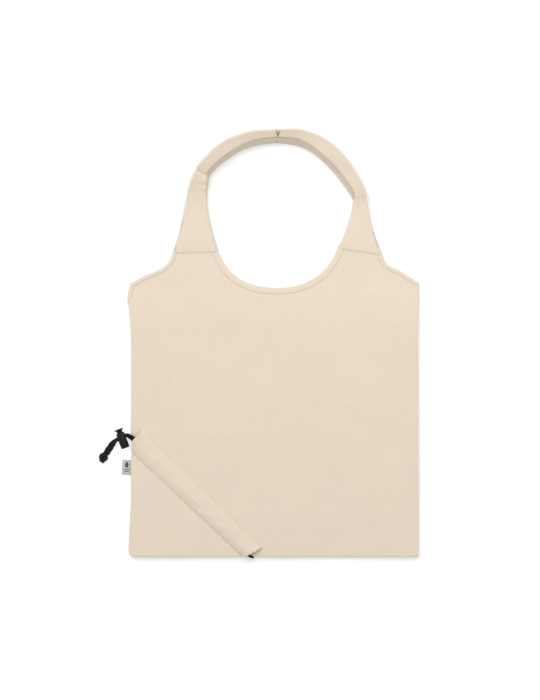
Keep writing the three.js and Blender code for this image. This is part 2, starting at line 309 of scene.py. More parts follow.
def casing_ends(across):
    """Where the casing's two open ends are, along it. The corners are cut by the side and bottom seams."""
    cos, sin = math.cos(CASING_TURN), math.sin(CASING_TURN)
    start = CASING_START
    for _ in range(4):
        side = pulled_in(start * sin + across * cos) - SIDE - EDGE_SPARE
        start = np.maximum(CASING_START, (across * sin + side) / cos)
    end = np.minimum(CASING_END + CASING_END_LEAN * (across + 1.8), (EDGE_SPARE - across * cos) / sin)
    return start, end


def casing_height(along, across):
    """Middle of the casing's cloth: flat at its stitched edges, over the cord between them."""
    low, high = casing_edges(along)
    start, end = casing_ends(across)
    puff = np.maximum(1 - ((2 * across - low - high) / (high - low)) ** 2, 0)
    lift = MOUTH_LIFT * np.exp(-np.maximum(along - start, 0) / 8)
    lift = lift + END_LIFT * np.exp(-np.maximum(end - along, 0) / 7)
    from_low = np.maximum(across - low, 0)
    from_high = np.maximum(high - across, 0)
    sewn_down = 0.6 * (np.exp(-from_low / 4) + np.exp(-from_high / 4))
    pucker = np.exp(-from_low / 5) * np.sin(along / 1.9 + 3 * waves(along, across, 60, 21))
    drape = 0.2 * puff * waves(along, across, 24, 22) + 0.42 * pucker
    free = 0.7 * puff + lift * puff**0.6 + drape + over_cord(across, 2.8, 8.5, 12)
    return front_height(*from_band(along, across)) + CASING_LIFT - sewn_down + free


# ---------------------------------------- meshes


class Shape:
    """Points, faces and the flat coordinates that the weave follows, gathered into one mesh."""

    def __init__(self):
        self.points, self.faces, self.flat, self.sharp, self.count = [], [], [], [], 0

    def add(self, points, faces, flat):
        self.faces.extend(tuple(i + self.count for i in face) for face in faces)
        self.points.append(points)
        self.flat.append(flat)
        self.count += len(points)

    def slab(self, grid, thickness, flat, plain_side=False, plain_end=False):
        """Cloth of some thickness about a grid of points. A plain side or end is a flat, sharp-edged wall."""
        size = grid.shape[:2]
        half = np.broadcast_to(thickness, size)[..., None] / 2
        offset = normals_of(grid) * half
        upper = np.arange(size[0] * size[1]).reshape(size)
        lower = upper + upper.size
        bulge = np.broadcast_to(0.8 * half, grid.shape).copy()
        if plain_side:
            bulge[:, 0] = 0
            self.sharpen(upper[:, 0], lower[:, 0])
        if plain_end:
            bulge[-1] = 0
            self.sharpen(upper[-1], lower[-1])
        edge = ring_of(grid + outward_of(grid) * bulge)
        rim = 2 * upper.size + np.arange(len(edge))
        faces = quads(upper) + quads(lower.T)
        faces += band(ring_of(upper), rim) + band(rim, ring_of(lower))
        points = np.vstack([(grid + offset).reshape(-1, 3), (grid - offset).reshape(-1, 3), edge])
        wide = flat.reshape(-1, 2)
        self.add(points, faces, np.vstack([wide, wide, ring_of(flat)]))

    def sharpen(self, *lines):
        """Marks the edges along lines of points, which are added next, as sharp."""
        for line in lines:
            self.sharp.extend((a + self.count, b + self.count) for a, b in zip(line, line[1:]))

    def sweep(self, rings, flat, square_start=False):
        """A solid through rings of points. square_start keeps its first end's edge sharp."""
        count, sides = rings.shape[:2]
        index = np.arange(count * sides).reshape(count, sides)
        faces = [face for a, b in zip(index, index[1:]) for face in band(b, a)]
        faces.append(tuple(index[0, ::-1]))
        faces.append(tuple(index[-1]))
        if square_start:
            self.sharpen(np.append(index[0], index[0, 0]))
        self.add(rings.reshape(-1, 3), faces, flat.reshape(-1, 2))

    def stitches(self, path, up, pitch=STITCH_PITCH, radius=0.24, share=0.8):
        """A row of stitches along a path, each a short bulging thread."""
        count = max(int(run_of(path)[-1] / pitch), 1)
        ends = evenly(path, count + 1)
        ups = evenly_like(path, np.broadcast_to(up, path.shape), count + 1)
        turns = np.arange(6) * math.pi / 3
        for a, b, high in zip(ends, ends[1:], ups):
            along = (b - a) * share
            side = unit(np.cross(high, along))
            high = unit(high)
            rings = []
            for t, swell in ((0, 0.45), (0.2, 0.95), (0.5, 1.15), (0.8, 0.95), (1, 0.45)):
                centre = a + along * t + high * radius * (swell - 0.9)
                ring = np.outer(np.cos(turns), side) + np.outer(np.sin(turns), high)
                rings.append(centre + ring * radius * swell)
            self.sweep(np.array(rings), np.zeros((5, 6, 2)))

    def make(self, name, material):
        """Makes a smooth mesh of the gathered shape and puts it in the scene."""
        mesh = bpy.data.meshes.new(name)
        points = np.vstack(self.points) - (0, ORIGIN_HEIGHT, 0)
        mesh.from_pydata((points / 1000).tolist(), [], self.faces)
        turned = bmesh.new()
        turned.from_mesh(mesh)
        bmesh.ops.recalc_face_normals(turned, faces=turned.faces)
        turned.to_mesh(mesh)
        turned.free()
        mesh.polygons.foreach_set("use_smooth", [True] * len(mesh.polygons))
        attribute = mesh.attributes.new("flat", "FLOAT_VECTOR", "POINT")
        flat = np.zeros((len(points), 3), np.float32)
        flat[:, :2] = np.vstack(self.flat) / 1000
        attribute.data.foreach_set("vector", flat.ravel())
        wanted = {tuple(sorted(edge)) for edge in self.sharp}
        if wanted:
            for edge in mesh.edges:
                edge.use_edge_sharp = tuple(sorted(edge.vertices)) in wanted
        mesh.materials.append(material)
        mesh.update()
        obj = bpy.data.objects.new(name, mesh)
        scene.collection.objects.link(obj)
        return obj


def unit(vectors):
    """The vectors along the last axis, each made one long."""
    return vectors / (np.linalg.norm(vectors, axis=-1, keepdims=True) + 1e-12)


def quads(index):
    """The four-sided faces between a table of points."""
    corners = index[:-1, :-1], index[:-1, 1:], index[1:, 1:], index[1:, :-1]
    return list(zip(*(corner.ravel() for corner in corners)))


def band(first, second):
    """The four-sided faces between two closed rings of points."""
    return list(zip(np.roll(first, -1), first, second, np.roll(second, -1)))


def ring_of(table):
    """The outline of a table's rows and columns, once round."""
    parts = [table[0, :-1], table[:-1, -1], table[-1, :0:-1], table[:0:-1, 0]]
    return np.concatenate(parts)


def normals_of(grid):
    """Directions straight out of a grid's upper face."""
    return unit(np.cross(np.gradient(grid, axis=1), np.gradient(grid, axis=0)))


def outward_of(grid):
    """Directions out of a grid, right at its outline."""
    along = unit(np.gradient(grid, axis=0))
    across = unit(np.gradient(grid, axis=1))
    out = np.zeros_like(grid)
    out[0] -= along[0]
    out[-1] += along[-1]
    out[:, 0] -= across[:, 0]
    out[:, -1] += across[:, -1]
    return out


def tube_rings(path, radius, turns):
    """Rings round a path with a point at each turn, carried along it without twisting."""
    along = unit(np.gradient(path, axis=0))
    side = np.cross(along[0], (0.1, 0.2, 1.0))
    rings = []
    for direction in along:
        side = unit(side - direction * np.dot(side, direction))
        other = np.cross(direction, side)
        rings.append(np.outer(np.cos(turns), side) + np.outer(np.sin(turns), other))
    return path[:, None] + np.array(rings) * np.broadcast_to(radius, len(path))[:, None, None]


def add_braid(shape, path, radius):
    """A round braided cord: its surface stands up where the strands cross over."""
    turn = np.arange(BRAID_SIDES) * 2 * math.pi / BRAID_SIDES
    rings = tube_rings(path, radius, turn)
    run = run_of(path)[:, None]
    plait = np.cos(4 * turn + run * 2.1) * np.cos(4 * turn - run * 2.1)
    centre = path[:, None, :]
    rings = centre + (rings - centre) * (1 + 0.05 * plait)[..., None]
    flat = np.stack([np.broadcast_to(turn * CORD_RADIUS, plait.shape), run + 0 * turn], axis=2)
    shape.sweep(rings, flat)


# ---------------------------------------- materials


def node(tree, kind, **settings):
    """A new shader node with its settings."""
    made = tree.nodes.new(kind)
    for key, value in settings.items():
        setattr(made, key, value)
    return made


def new_material(name, colour, roughness, metallic=0.0):
    """A plain material, with its node tree and its shader."""
    material = bpy.data.materials.new(name)
    material.use_nodes = True
    shader = material.node_tree.nodes["Principled BSDF"]
    shader.inputs["Base Color"].default_value = (*colour, 1)
    shader.inputs["Roughness"].default_value = roughness
    shader.inputs["Metallic"].default_value = metallic
    return material, material.node_tree, shader


def maths(tree, operation, a, b):
    """The result of an operation on two numbers or sockets."""
    made = node(tree, "ShaderNodeMath", operation=operation)
    for socket, value in zip(made.inputs, (a, b)):
        if isinstance(value, (int, float)):
            socket.default_value = value
        else:
            tree.links.new(value, socket)
    return made.outputs[0]


def stretched_noise(tree, vector, scale, detail=2.0):
    """Noise along the weave coordinates, scaled differently along each axis."""
    mapping = node(tree, "ShaderNodeMapping")
    mapping.inputs["Scale"].default_value = scale
    tree.links.new(vector, mapping.inputs["Vector"])
    made = node(tree, "ShaderNodeTexNoise")
    made.inputs["Scale"].default_value = 1
    made.inputs["Detail"].default_value = detail
    tree.links.new(mapping.outputs[0], made.inputs["Vector"])
    return made.outputs[0]


def add_bump(tree, shader, height, strength, distance):
    """Lets a height texture stand out on a material's surface."""
    bump = node(tree, "ShaderNodeBump")
    bump.inputs["Strength"].default_value = strength
    bump.inputs["Distance"].default_value = distance
    tree.links.new(height, bump.inputs["Height"])
    tree.links.new(bump.outputs[0], shader.inputs["Normal"])


def cotton_material(name, colour, pitch=0.00068):
    """Plain weave with slubs: thicker stretches of thread that are a little lighter or darker."""
    material, tree, shader = new_material(name, colour, 0.92)
    shader.inputs["Sheen Weight"].default_value = 0.12
    shader.inputs["Sheen Roughness"].default_value = 0.6
    shader.inputs["Specular IOR Level"].default_value = 0.15
    place = node(tree, "ShaderNodeAttribute", attribute_name="flat").outputs["Vector"]
    split = node(tree, "ShaderNodeSeparateXYZ")
    tree.links.new(place, split.inputs[0])
    step = math.pi / pitch
    warp = maths(tree, "SINE", maths(tree, "MULTIPLY", split.outputs[0], step), 0)
    weft = maths(tree, "SINE", maths(tree, "MULTIPLY", split.outputs[1], step), 0)
    weave = maths(tree, "MULTIPLY", warp, weft)
    slub_weft = stretched_noise(tree, place, (70, 1100, 1))
    slub_warp = stretched_noise(tree, place, (1100, 70, 1))
    slubs = maths(tree, "ADD", slub_weft, slub_warp)
    cloud = stretched_noise(tree, place, (14, 14, 1))
    slub_tone = maths(tree, "MULTIPLY", slubs, SLUB_TONE)
    cloud_tone = maths(tree, "MULTIPLY", cloud, CLOUD_TONE)
    tone = maths(tree, "ADD", maths(tree, "ADD", slub_tone, cloud_tone), 1 - SLUB_TONE - CLOUD_TONE / 2)
    tint = node(tree, "ShaderNodeVectorMath", operation="SCALE")
    tint.inputs[0].default_value = colour
    tree.links.new(tone, tint.inputs["Scale"])
    tree.links.new(tint.outputs[0], shader.inputs["Base Color"])
    height = maths(tree, "ADD", maths(tree, "MULTIPLY", weave, 0.5), maths(tree, "MULTIPLY", slubs, 1.2))
    add_bump(tree, shader, height, 0.35, 0.00012)
    return material


def thread_material(name, colour):
    material, _, shader = new_material(name, colour, 0.8)
    shader.inputs["Sheen Weight"].default_value = 0.1
    return material


def braid_material(name, colour):
    """Polyester braid: fine fibres with a soft sheen."""
    material, tree, shader = new_material(name, colour, 0.75)
    shader.inputs["Sheen Weight"].default_value = 0.03
    shader.inputs["Specular IOR Level"].default_value = 0.2
    place = node(tree, "ShaderNodeAttribute", attribute_name="flat").outputs["Vector"]
    add_bump(tree, shader, stretched_noise(tree, place, (5000, 900, 1), 3), 0.5, 0.0002)
    return material


def plastic_material(name, colour):
    """Moulded plastic with a faint satin grain."""
    material, tree, shader = new_material(name, colour, 0.4)
    shader.inputs["Specular IOR Level"].default_value = 0.22
    place = node(tree, "ShaderNodeTexCoord").outputs["Object"]
    add_bump(tree, shader, stretched_noise(tree, place, (2500, 2500, 2500), 3), 0.15, 0.0001)
    return material


def steel_material(name, colour):
    return new_material(name, colour, 0.28, 1.0)[0]


cotton = cotton_material("cotton", COTTON_COLOUR)
thread = thread_material("seam_thread", THREAD_COLOUR)
# The tack material is partly painted shade: its dark colour also stands in for the shade in the folds at the
# handles' strap joint.
tack_thread = thread_material("tack_thread", TACK_AND_FOLD_SHADE_COLOUR)
braid = braid_material("drawcord", CORD_COLOUR)
plastic = plastic_material("lock_plastic", PLASTIC_COLOUR)
steel = steel_material("spring_steel", STEEL_COLOUR)
label_cloth = cotton_material("label", LABEL_COLOUR, 0.0003)
label_print = thread_material("label_print", PRINT_COLOUR)


# ---------------------------------------- camera, light and ground


def make_camera():
    """The camera stands over the bag and looks straight down."""
    data = bpy.data.cameras.new("camera")
    data.lens = CAMERA_LENS
    data.sensor_width = 36
    camera = bpy.data.objects.new("camera", data)
    camera.location = CAMERA_PLACE
    scene.collection.objects.link(camera)
    scene.camera = camera


def make_lamp(name, place, size, power):
    """A round lamp that points at the middle of the bag."""
    data = bpy.data.lights.new(name, "AREA")
    data.shape = "DISK"
    data.size = size
    data.energy = power
    lamp = bpy.data.objects.new(name, data)
    lamp.location = place
    lamp.rotation_euler = (-lamp.location).to_track_quat("-Z", "Y").to_euler()
    scene.collection.objects.link(lamp)


def make_light():
    """A soft key from the upper left, a fill from the handles' side, and a bright white room."""
    make_lamp("key", **KEY)
    make_lamp("fill", **FILL)
    world = bpy.data.worlds.new("world")
    world.use_nodes = True
    world.node_tree.nodes["Background"].inputs["Color"].default_value = (1, 1, 1, 1)
    world.node_tree.nodes["Background"].inputs["Strength"].default_value = WORLD_STRENGTH
    scene.world = world
    scene.view_settings.view_transform = "Standard"


def ranged(tree, value, fade, low=0, high=1):
    """low where the value is at the fade's start and high at its end, with a soft step between."""
    made = node(tree, "ShaderNodeMapRange", interpolation_type="SMOOTHSTEP")
    for name, number in (("From Min", fade[0]), ("From Max", fade[1]), ("To Min", low), ("To Max", high)):
        made.inputs[name].default_value = number
    tree.links.new(value, made.inputs["Value"])
    return made.outputs[0]


def ground_material():
    """White paper, which is greyer and glows round the bag's body, so that its shadows there are faint."""
    material, tree, shader = new_material("ground", (1, 1, 1), 0.95)
    place = node(tree, "ShaderNodeNewGeometry").outputs["Position"]
    split = node(tree, "ShaderNodeSeparateXYZ")
    tree.links.new(place, split.inputs[0])
    x, y = split.outputs[0], split.outputs[1]
    reach = maths(tree, "MAXIMUM", maths(tree, "ABSOLUTE", x, 0), maths(tree, "ABSOLUTE", y, 0))
    far = maths(tree, "MAXIMUM", ranged(tree, reach, BODY_FADE), ranged(tree, y, HANDLE_FADE))
    grey = maths(tree, "ADD", maths(tree, "MULTIPLY", far, GROUND_FAR - GROUND_NEAR), GROUND_NEAR)
    tree.links.new(grey, shader.inputs["Base Color"])
    shader.inputs["Emission Color"].default_value = (1, 1, 1, 1)
    glow = ranged(tree, x, LEFT_FADE, GROUND_GLOW + GROUND_LEFT_GLOW, GROUND_GLOW)
    glow = maths(tree, "MULTIPLY", glow, maths(tree, "SUBTRACT", 1, far))
    tree.links.new(glow, shader.inputs["Emission Strength"])
    return material


def make_ground():
    """A wide sheet of paper, just below the bag."""
    mesh = bpy.data.meshes.new("ground")
    reach = 30
    level = -0.0002
    corners = [(x * reach, y * reach, level) for x, y in ((-1, -1), (1, -1), (1, 1), (-1, 1))]
    mesh.from_pydata(corners, [], [(0, 1, 2, 3)])
    ground = bpy.data.objects.new("ground", mesh)
    mesh.materials.append(ground_material())
    scene.collection.objects.link(ground)


# ---------------------------------------- cloth that lies and moves


def on_cloth(path, height, lift):
    """A path in the plane, laid on a cloth."""
    x, y = path.T
    return np.stack([x, y, height(x, y) + lift], axis=1)


def ride_layer(obj, layer):
    """The back lies still on the bag's back body. The front only has its place baked into its mesh."""
    if layer == "back":
        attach(obj, "bag_back")
    else:
        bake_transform(obj)


# ---------------------------------------- drawcord and cord lock

# Each strand's way from the bag to the lock, and the pair's way through the lock to the knot.
FRONT_APPROACH = [
    (-192.8, 164.0, 8.0), (-196.6, 166.4, 8.4), (-200.6, 168.8, 8.2), (-204.8, 170.4, 7.8),
    (-208.6, 169.2, 6.9),
]
BACK_APPROACH = [
    (-193.9, 160.1, 3.4), (-197.6, 162.7, 3.9), (-201.4, 165.4, 5.0), (-205.1, 167.8, 6.0),
    (-208.4, 166.5, 6.6),
]
TAIL = [
    (-211.5, 166, 6.7), (-216.0, 164.4, 6.7), (-220.0, 162.5, 6.3), (-223.2, 159.8, 5.6), (-226.0, 156.4, 5),
    (-228.4, 152.6, 4.8), (-231.0, 148.8, 4.9), (-233.2, 145.4, 5), (-235.8, 142.0, 5.2),
]
TAIL_TURNS = 0.24
TAIL_FLUFF = 0.38
TAIL_START = math.radians(-55)
KNOT_CENTRE = np.array((-238.2, 137.9, 6.0))
KNOT_RADIUS = 3.6


def strand_path(approach, side):
    """A strand lies beside the other through the lock, then turns round it, with its braid loosened."""
    per_span = 3
    per_point = 6
    count = 90
    straight = 2
    route = spline(TAIL, per_span)
    place = np.arange(len(route)) / per_span
    twisted = np.maximum(0, place - straight) / (len(TAIL) - 1 - straight)
    angle = TAIL_START * smoothstep(place / straight) + 2 * math.pi * TAIL_TURNS * twisted
    loosened = smoothstep(twisted / 0.35) * smoothstep((1.12 - twisted) / 0.3)
    belly = CORD_RADIUS * (1 + (TAIL_FLUFF - 0.1) * loosened)
    along = np.gradient(route, axis=0)
    sideways = unit(np.stack([along[:, 1], -along[:, 0], 0 * angle], axis=1))
    offset = sideways * np.cos(angle)[:, None]
    offset[:, 2] = np.sin(angle)
    around = route + side * belly[:, None] * offset
    whole = spline(np.vstack([approach, around]), per_point)
    loosened = np.concatenate([np.zeros(len(approach)), loosened])
    loosened = np.interp(np.arange(len(whole)) / per_point, np.arange(len(loosened)), loosened)
    path = evenly(whole, count)
    loosened = evenly_like(whole, loosened[:, None], count)[:, 0]
    lumps = 0.09 * np.sin(run_of(path) / 1.3 + side) * loosened
    return path, CORD_RADIUS * (1 + TAIL_FLUFF * loosened + lumps)


def make_knot():
    """An overhand knot of both strands, pulled tight, with two short cut ends."""
    shape = Shape()
    turn = np.linspace(0, 2 * math.pi, 140)
    for lean, size in ((0.0, 1.0), (0.55, 0.72)):
        around = 2 * turn + lean
        reach = size * KNOT_RADIUS * (1 + 0.30 * np.cos(3 * turn))
        x, y, z = reach * np.cos(around), 1.08 * reach * np.sin(around), 1.9 * np.sin(3 * turn)
        add_braid(shape, evenly(np.stack([x, y, z], axis=1) + KNOT_CENTRE, 150), 1.9)
    for lean, reach in ((-0.15, 7.2), (-0.75, 6.6)):
        tip = KNOT_CENTRE + (reach * math.sin(lean), -reach * math.cos(lean), -2.0)
        add_braid(shape, evenly(np.array([KNOT_CENTRE, tip]), 24), CORD_RADIUS)
    knot = shape.make("drawcord_knot", braid)
    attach(knot, "drawcord_ends")
    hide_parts("cord_knot")
    return knot


def dress_lock():
    """The lock's barrel and button are the CAD solids themselves, with rounded edges."""
    for name in ("cord_lock_barrel", "cord_lock_plunger"):
        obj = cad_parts[name]
        obj.data.materials.clear()
        obj.data.materials.append(plastic)
        obj.data.polygons.foreach_set("use_smooth", [True] * len(obj.data.polygons))
        weld = obj.modifiers.new("weld", "WELD")
        weld.merge_threshold = 0.00001
        bevel = obj.modifiers.new("bevel", "BEVEL")
        bevel.width = 0.00035
        bevel.segments = 3
        bevel.angle_limit = math.radians(35)
        bevel.harden_normals = True


def make_spring():
    """The spring inside the barrel has the CAD solid's shape, and rides on the cord lock."""
    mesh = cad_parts["cord_lock_spring"].data.copy()
    mesh.materials.clear()
    mesh.materials.append(steel)
    mesh.polygons.foreach_set("use_smooth", [True] * len(mesh.polygons))
    spring = bpy.data.objects.new("lock_spring", mesh)
    scene.collection.objects.link(spring)
    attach(spring, "cord_lock")
    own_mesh(spring)
    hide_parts("cord_lock_spring")
    return spring


def make_strand(name, node_name, approach, side):
    """A free strand of the drawcord, from the bag through the lock to the knot."""
    path, radius = strand_path(approach, side)
    shape = Shape()
    add_braid(shape, path, radius)
    strand = shape.make(name, braid)
    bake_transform(strand)
    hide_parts(node_name)


def make_runs():
    """The cord's runs in both casings, on the front panel and under the back one."""
    along = np.linspace(CASING_START + 8, CASING_END - 9, 120)
    plan = np.stack(from_band(along, CORD_LINE), axis=1)
    runs = []
    for layer, height, lift in (("front", front_height, 2.2), ("back", back_height, -2.35)):
        path = on_cloth(plan, height, lift)
        shape = Shape()
        add_braid(shape, path, CORD_RADIUS)
        run = shape.make(f"drawcord_{layer}_run", braid)
        ride_layer(run, layer)
        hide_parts(f"drawcord_in_{layer}_casing")
        runs.append(path)
    return runs


def make_drawcord():
    """The whole drawcord with its knot and its lock."""
    knot = make_knot()
    dress_lock()
    companions = [knot, "cord_lock_barrel", "cord_lock_plunger", make_spring()]
    make_strand("drawcord_front_strand", "front_strand", FRONT_APPROACH, 1)
    make_strand("drawcord_back_strand", "back_strand", BACK_APPROACH, -1)
    front_run, back_run = make_runs()
    make_turn(front_run[-1], back_run[-1])


def make_turn(front_end, back_end):
    """The cord goes round the bottom edge from the front casing to the back one."""
    top, bottom = front_end[2], back_end[2]
    outside = [(-36.2, 3.6, top), (-35.0, 1.4, top - 0.3), (-32.2, 0.1, top - 1.8), (-30.0, -0.4, 5.0)]
    outside += [(-30.4, 0.4, bottom + 1.4), (-32.6, 2.6, bottom + 0.2)]
    points = [front_end, *outside, back_end]
    shape = Shape()
    add_braid(shape, evenly(spline(points, 10), 60), CORD_RADIUS)
    turn = shape.make("drawcord_turn", braid)
    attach(turn, "bag_back")
    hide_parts("drawcord_bottom_turn")


# ---------------------------------------- panels

# A half's edges, which way its side lies, the row of its top edge where the hem starts, and its flat size.
HALVES = {
    "left": (LEFT_SIDE, LEFT_TOP, LEFT_NECK, -1, LEFT_HEM_ROW, (0.207, 0.425)),
    "right": (RIGHT_SIDE, RIGHT_TOP, RIGHT_NECK, 1, SHOULDER_ROW, (0.196, 0.430)),
}


def beside(path, hand):
    """Directions to the left of a path in the plane, or to its right if hand is -1."""
    along = unit(np.gradient(path, axis=0))
    return hand * np.stack([-along[:, 1], along[:, 0]], axis=1)


def add_hem(shape, path, width, height, inward):
    """A turned edge: a double thickness that wraps the cut edge of the cloth."""
    path = evenly(path, max(int(run_of(path)[-1] / 2), 12))
    across = beside(path, inward)
    profile = [
        (width, 0.40), (width - 0.7, 0.72), (width - 1.6, 0.62), (width / 2, 0.82), (1.0, 0.78),
        (0.0, 0.45), (-0.35, 0.0), (0.0, -0.45), (1.0, -0.70), (width / 2, -0.72), (width, -0.40),
    ]
    rings = np.stack([on_cloth(path + across * depth, height, rise) for depth, rise in profile], axis=1)
    shape.sweep(rings, rings[..., :2], square_start=True)


def hem_stitches(shape, path, depth, height, inward):
    """Topstitching along a hem, at some depth from its edge."""
    line = evenly(path + beside(path, inward) * depth, 200)
    shape.stitches(on_cloth(line, height, 0.85), (0, 0, 1))


def panel_grid(side_edge, top_edge, neck, height):
    """Rows from the centre line, and then from the neckline, out to the side, shoulder and armhole."""
    inner = np.vstack([CENTRE, neck[1:]])
    outer = np.vstack([side_edge, top_edge[1:]])
    flat = inner[:, None] + (outer - inner)[:, None] * SHARES[None, :, None]
    grid = np.dstack([flat, height(flat[..., 0], flat[..., 1])])
    return grid, flat


def make_half(which, layer):
    """One half of the front or back panel, with its hems and topstitching."""
    side_edge, top_edge, neck, hand, hem_row, flat_size = HALVES[which]
    height = front_height if layer == "front" else back_height
    grid, flat = panel_grid(side_edge, top_edge, neck, height)
    strap_seam = np.array([neck[-1], top_edge[-1]])
    shape = Shape()
    shape.slab(grid, CLOTH, flat, plain_side=True)
    add_hem(shape, neck, HEM, height, -hand)
    add_hem(shape, strap_seam, 1.6, height, -hand)
    armhole = top_edge[hem_row:]
    add_hem(shape, armhole, ARMHOLE_HEM, height, hand)
    cloth = shape.make(f"{layer}_cloth_{which}", cotton)
    threads = Shape()
    hem_stitches(threads, neck, HEM - 1.5, height, -hand)
    hem_stitches(threads, armhole, ARMHOLE_HEM - 1.2, height, hand)
    stitching = threads.make(f"{layer}_stitches_{which}", thread)
    for obj in (cloth, stitching):
        ride_layer(obj, layer)
    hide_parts(f"{layer}_panel")


def add_allowance(shape, threads, line, reach):
    """One strip of seam allowance beside a line, with overlock stitches along its free edge."""
    edge = evenly(line, int(run_of(line)[-1] / 3))
    edge[:, 0] += np.where(edge[:, 0] < 0, pulled_in(edge[:, 1]), 0)
    share = np.linspace(0, 1, 4)[None, :, None]
    flat = edge[:, None] + np.array(reach)[None, None] * share
    x, y = flat[..., 0], flat[..., 1]
    grid = np.dstack([flat, np.minimum(back_height(x, y) + 0.75, front_height(x, y) - 0.6)])
    shape.slab(grid, 0.5, flat)
    for bar in grid[:, :-3:-1] + (0, 0, 0.35):
        threads.stitches(bar, (0, 0, 1), pitch=9)


def make_seams():
    """Overlocked seam allowances inside the bag. The left one is open where the drawcord comes out."""
    x, width = SIDE - 0.8, 5.5
    lower_left, upper_left = ((-x, 12), (-x, MOUTH_LOW)), ((-x, MOUTH_HIGH), (-x, 374))
    runs = {
        "left_side_seam": ([lower_left, upper_left], (width, 0)),
        "right_side_seam": ([((x, 4), (x, 374))], (-width, 0)),
        "bottom_seam": ([((-188, 0.9), (196, 0.9))], (0, width)),
    }
    for node_name, (lines, reach) in runs.items():
        shape = Shape()
        threads = Shape()
        for line in lines:
            add_allowance(shape, threads, np.array(line, float), reach)
        seam = shape.make(node_name + "_allowance", cotton)
        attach(seam, "bag_back")
        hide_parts(node_name)
        overlock = threads.make(node_name + "_overlock", thread)
        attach(overlock, "bag_back")


def make_front_casing():
    """The front casing: a band that thins out at its long edges, with three rows of stitches."""
    share = np.linspace(0, 1, 90)[None, :]
    rows = np.linspace(0, 1, 40)[:, None]
    low, high = casing_edges(CASING_START)
    for _ in range(3):
        across = low + (high - low) * rows
        start, end = casing_ends(across)
        along = start + (end - start) * share
        low, high = casing_edges(along)
    across = low + (high - low) * rows
    x, y = from_band(along, across)
    from_edge = np.minimum(rows, 1 - rows)
    thickness = CLOTH * (0.5 + 0.5 * smoothstep(from_edge / 0.12))
    shape = Shape()
    shape.slab(np.dstack([x, y, casing_height(along, across)]), thickness, np.dstack([along, across]))
    casing = shape.make("front_casing_cloth", cotton)
    threads = Shape()
    along = np.linspace(CASING_START + 8, CASING_END - 3, 200)
    low, high = casing_edges(along)
    for across in (low + 1.5, low + 5.0, high - 1.5):
        start, end = casing_ends(across)
        keep = (along > start + 1) & (along < end - 1)
        x, y = from_band(along, across)
        line = np.stack([x, y, casing_height(along, across) + 0.5], axis=1)[keep]
        threads.stitches(line, (0, 0, 1))
    stitching = threads.make("front_casing_stitches", thread)
    for obj in (casing, stitching):
        ride_layer(obj, "front")
    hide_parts("front_casing")


def make_back_casing():
    """The back casing: a flat band on the ground, under the cord that the back panel rises over."""
    across = np.linspace(-CASING_WIDTH, 0, 16)[:, None]
    start, end = casing_ends(across)
    along = start + (end - start) * np.linspace(0, 1, 60)
    across = across + 0 * along
    x, y = from_band(along, across)
    shape = Shape()
    shape.slab(np.dstack([x, y, 0.45 + 0 * x]), 0.6, np.dstack([along, across]))
    casing = shape.make("back_casing_cloth", cotton)
    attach(casing, "bag_back")
    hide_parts("back_casing")


# ---------------------------------------- handles

# Each station is a point of the inner edge, one of the outer edge, and how far the cloth curls over.
FRONT_LEFT = [
    ((-78.6, 422.6, 3.3), (-141.4, 420.6, 3.3), 0.6),
    ((-87, 452, 3.2), (-132, 451, 3.2), 0.6),
    ((-93.6, 483, 3.6), (-124.5, 484, 4.0), 1.2),
    ((-95.4, 507, 6.2), (-119, 509, 8.2), 3.0),
    ((-94, 524, 10.4), (-112.4, 528.2, 13.8), 5.5),
    ((-90.6, 538.8, 14), (-104.2, 545, 18.6), 7.5),
    ((-61.9, 562.6, 16.6), (-74.8, 573.6, 21.4), 7.5),
    ((-30.4, 578.1, 17.2), (-36.7, 589.0, 22.4), 7.0),
    ((3.5, 583.2, 17.3), (3.5, 592.8, 22.6), 6.0),
]
FRONT_RIGHT = [
    ((88.1, 427.6, 3.3), (150.2, 418.1, 3.3), 0.6),
    ((99, 452, 3.2), (138, 450, 3.2), 0.6),
    ((106, 474, 3.4), (131.5, 474, 3.6), 0.6),
    ((110, 492, 5.4), (127.6, 494, 6.6), 2.0),
    ((110.4, 506.8, 9.2), (124.6, 509.6, 11.6), 4.5),
    ((91, 535, 14.0), (106.2, 542.9, 18.6), 6.0),
    ((66.2, 559.4, 16.6), (79.9, 573, 21.6), 6.0),
    ((36.8, 579, 17.2), (41.5, 591.2, 22.4), 6.0),
    ((3.5, 583.2, 17.3), (3.5, 592.8, 22.6), 6.0),
]
BACK_LEFT = [
    ((-79, 425.3, 0.8), (-141, 423.3, 0.8), 0.6),
    ((-87.8, 452, 0.8), (-130.8, 451, 0.8), 0.6),
    ((-94.2, 483, 0.8), (-122.8, 484, 1.0), 0.6),
    ((-94.6, 504, 0.9), (-118.5, 507, 3), 0.6),
    ((-92.5, 520, 1.0), (-109.5, 526, 7.0), 0.6),
    ((-87.5, 534.5, 1.0), (-97.5, 542, 10.8), 0.6),
    ((-58.6, 559.1, 1.0), (-64.5, 564.8, 14), 0.6),
    ((-28.3, 572.9, 1.0), (-31, 578, 14.8), 0.6),
    ((3.5, 577.4, 1.0), (3.5, 582.4, 15), 0.6),
]
BACK_RIGHT = [
    ((88.5, 430.3, 0.8), (149.5, 420.8, 0.8), 0.6),
    ((99.8, 452, 0.8), (136.8, 450, 0.8), 0.6),
    ((106.8, 474, 0.8), (129.6, 474, 0.9), 0.6),
    ((109.4, 489, 0.9), (125.2, 493, 1.8), 0.6),
    ((109, 499, 1.0), (121.9, 507, 4.5), 0.6),
    ((87, 530, 1.0), (96.5, 538.5, 11.4), 0.6),
    ((62.9, 555.9, 1.0), (69, 561.8, 14), 0.6),
    ((34.9, 572.2, 1.0), (37.5, 578.8, 14.8), 0.6),
    ((3.5, 577.4, 1.0), (3.5, 582.4, 15), 0.6),
]


